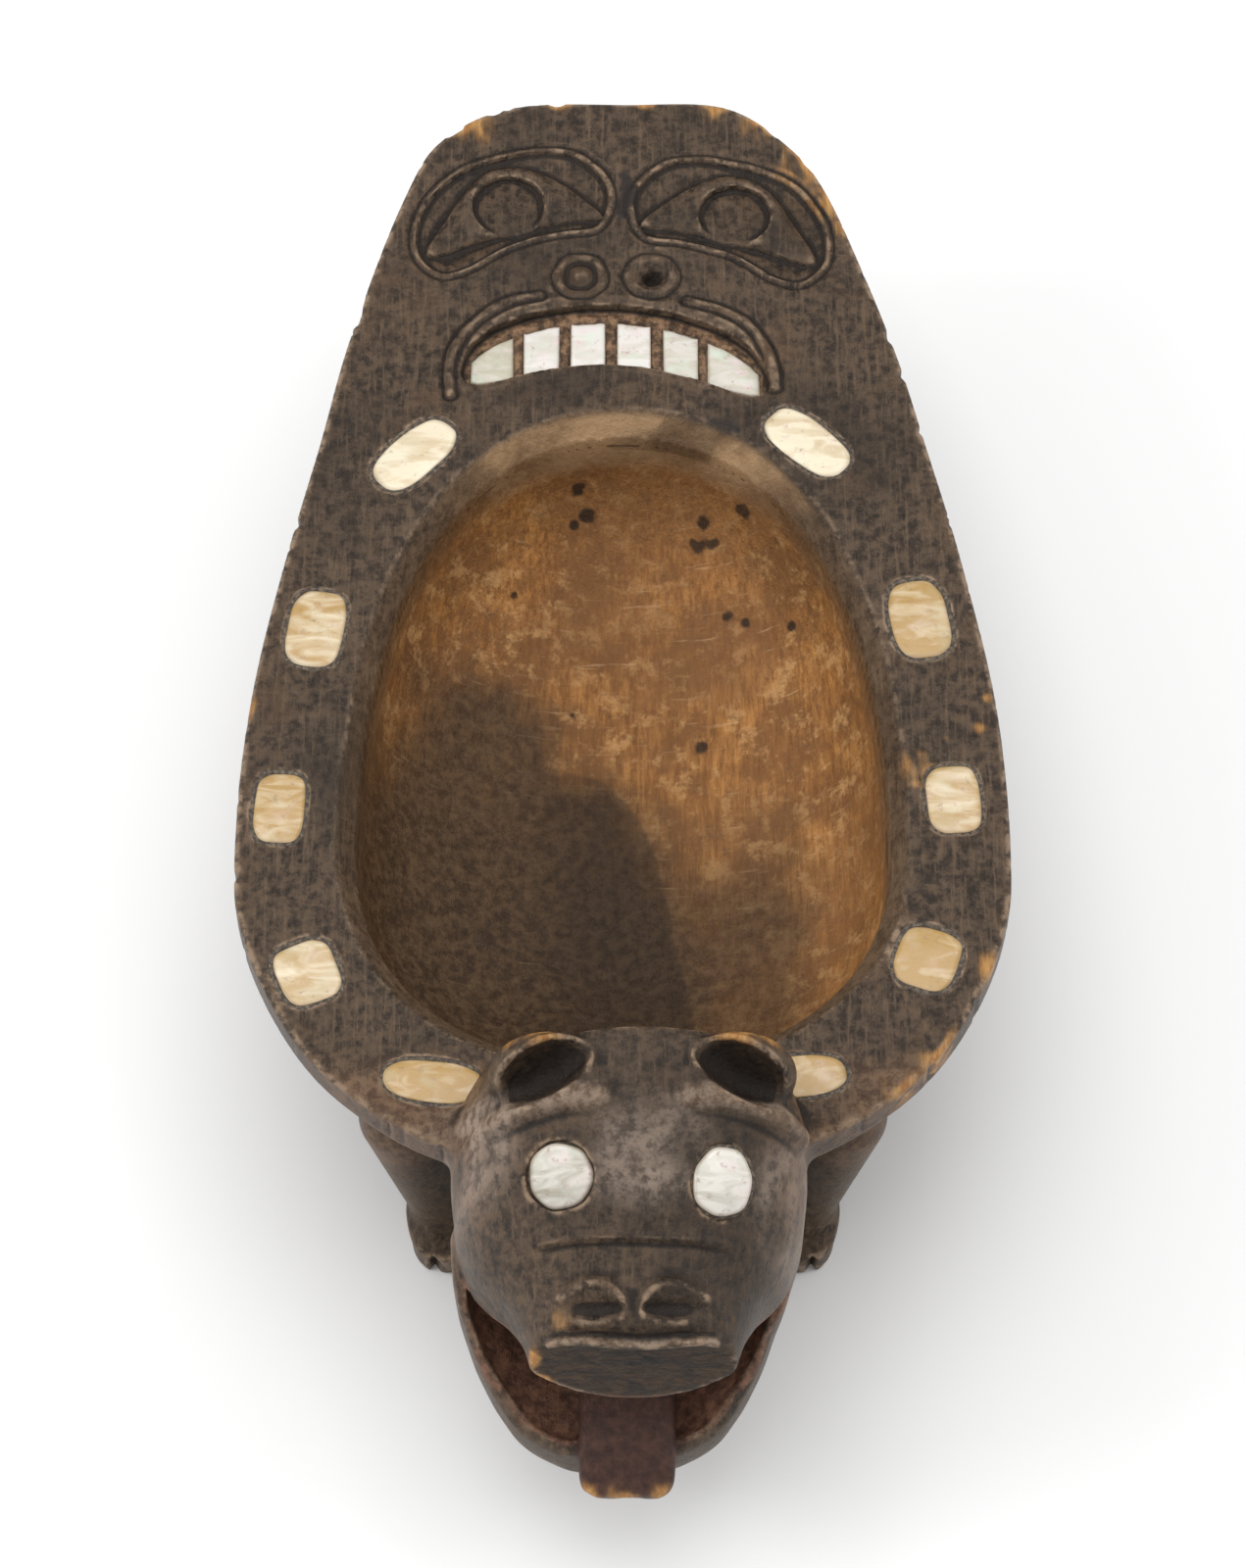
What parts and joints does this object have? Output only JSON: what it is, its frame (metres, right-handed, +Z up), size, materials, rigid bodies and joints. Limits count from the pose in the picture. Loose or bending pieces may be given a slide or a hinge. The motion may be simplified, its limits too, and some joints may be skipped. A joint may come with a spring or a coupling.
{
  "type": "carved wooden bowl",
  "caption": "Carved wooden feast bowl in the shape of an animal on four short legs, with an open-mouthed head, a face carved in its tail board, and shell plates inlaid in the rim.",
  "frame": {"origin": "on the ground under the middle of the bowl's length and width", "axes": "+Z up, +Y toward the tail board, -Y toward the animal's head, +X to the right seen from the head"},
  "size_m": [0.2, 0.4, 0.129],
  "materials": {
    "carved_wood": "black-brown stained hardwood, worn to orange-brown wood in the hollow and on the edges, waxy low sheen",
    "rim_shell": null,
    "tooth_shell": "white nacre with faint pink and green lustre",
    "eye_shell": "domed silver-white nacre",
    "pitch": "dark brittle spruce pitch, dull"
  },
  "bodies": {
    "root": {"carved_body": "carved_wood", "rim_inlay_left_1": "rim_shell", "rim_inlay_left_2": "rim_shell", "rim_inlay_left_3": "rim_shell", "rim_inlay_left_4": "rim_shell", "rim_inlay_left_5": "rim_shell", "rim_inlay_right_1": "rim_shell", "rim_inlay_right_2": "rim_shell", "rim_inlay_right_3": "rim_shell", "rim_inlay_right_4": "rim_shell", "rim_inlay_right_5": "rim_shell", "tooth_1": "tooth_shell", "tooth_2": "tooth_shell", "tooth_3": "tooth_shell", "tooth_4": "tooth_shell", "tooth_5": "tooth_shell", "tooth_6": "tooth_shell", "eye_shell_left": "eye_shell", "eye_shell_right": "eye_shell", "rim_pitch_left_1": "pitch", "rim_pitch_left_2": "pitch", "rim_pitch_left_3": "pitch", "rim_pitch_left_4": "pitch", "rim_pitch_left_5": "pitch", "rim_pitch_right_1": "pitch", "rim_pitch_right_2": "pitch", "rim_pitch_right_3": "pitch", "rim_pitch_right_4": "pitch", "rim_pitch_right_5": "pitch", "tooth_pitch_1": "pitch", "tooth_pitch_2": "pitch", "tooth_pitch_3": "pitch", "tooth_pitch_4": "pitch", "tooth_pitch_5": "pitch", "tooth_pitch_6": "pitch", "eye_pitch_left": "pitch", "eye_pitch_right": "pitch"}
  },
  "joints": []
}
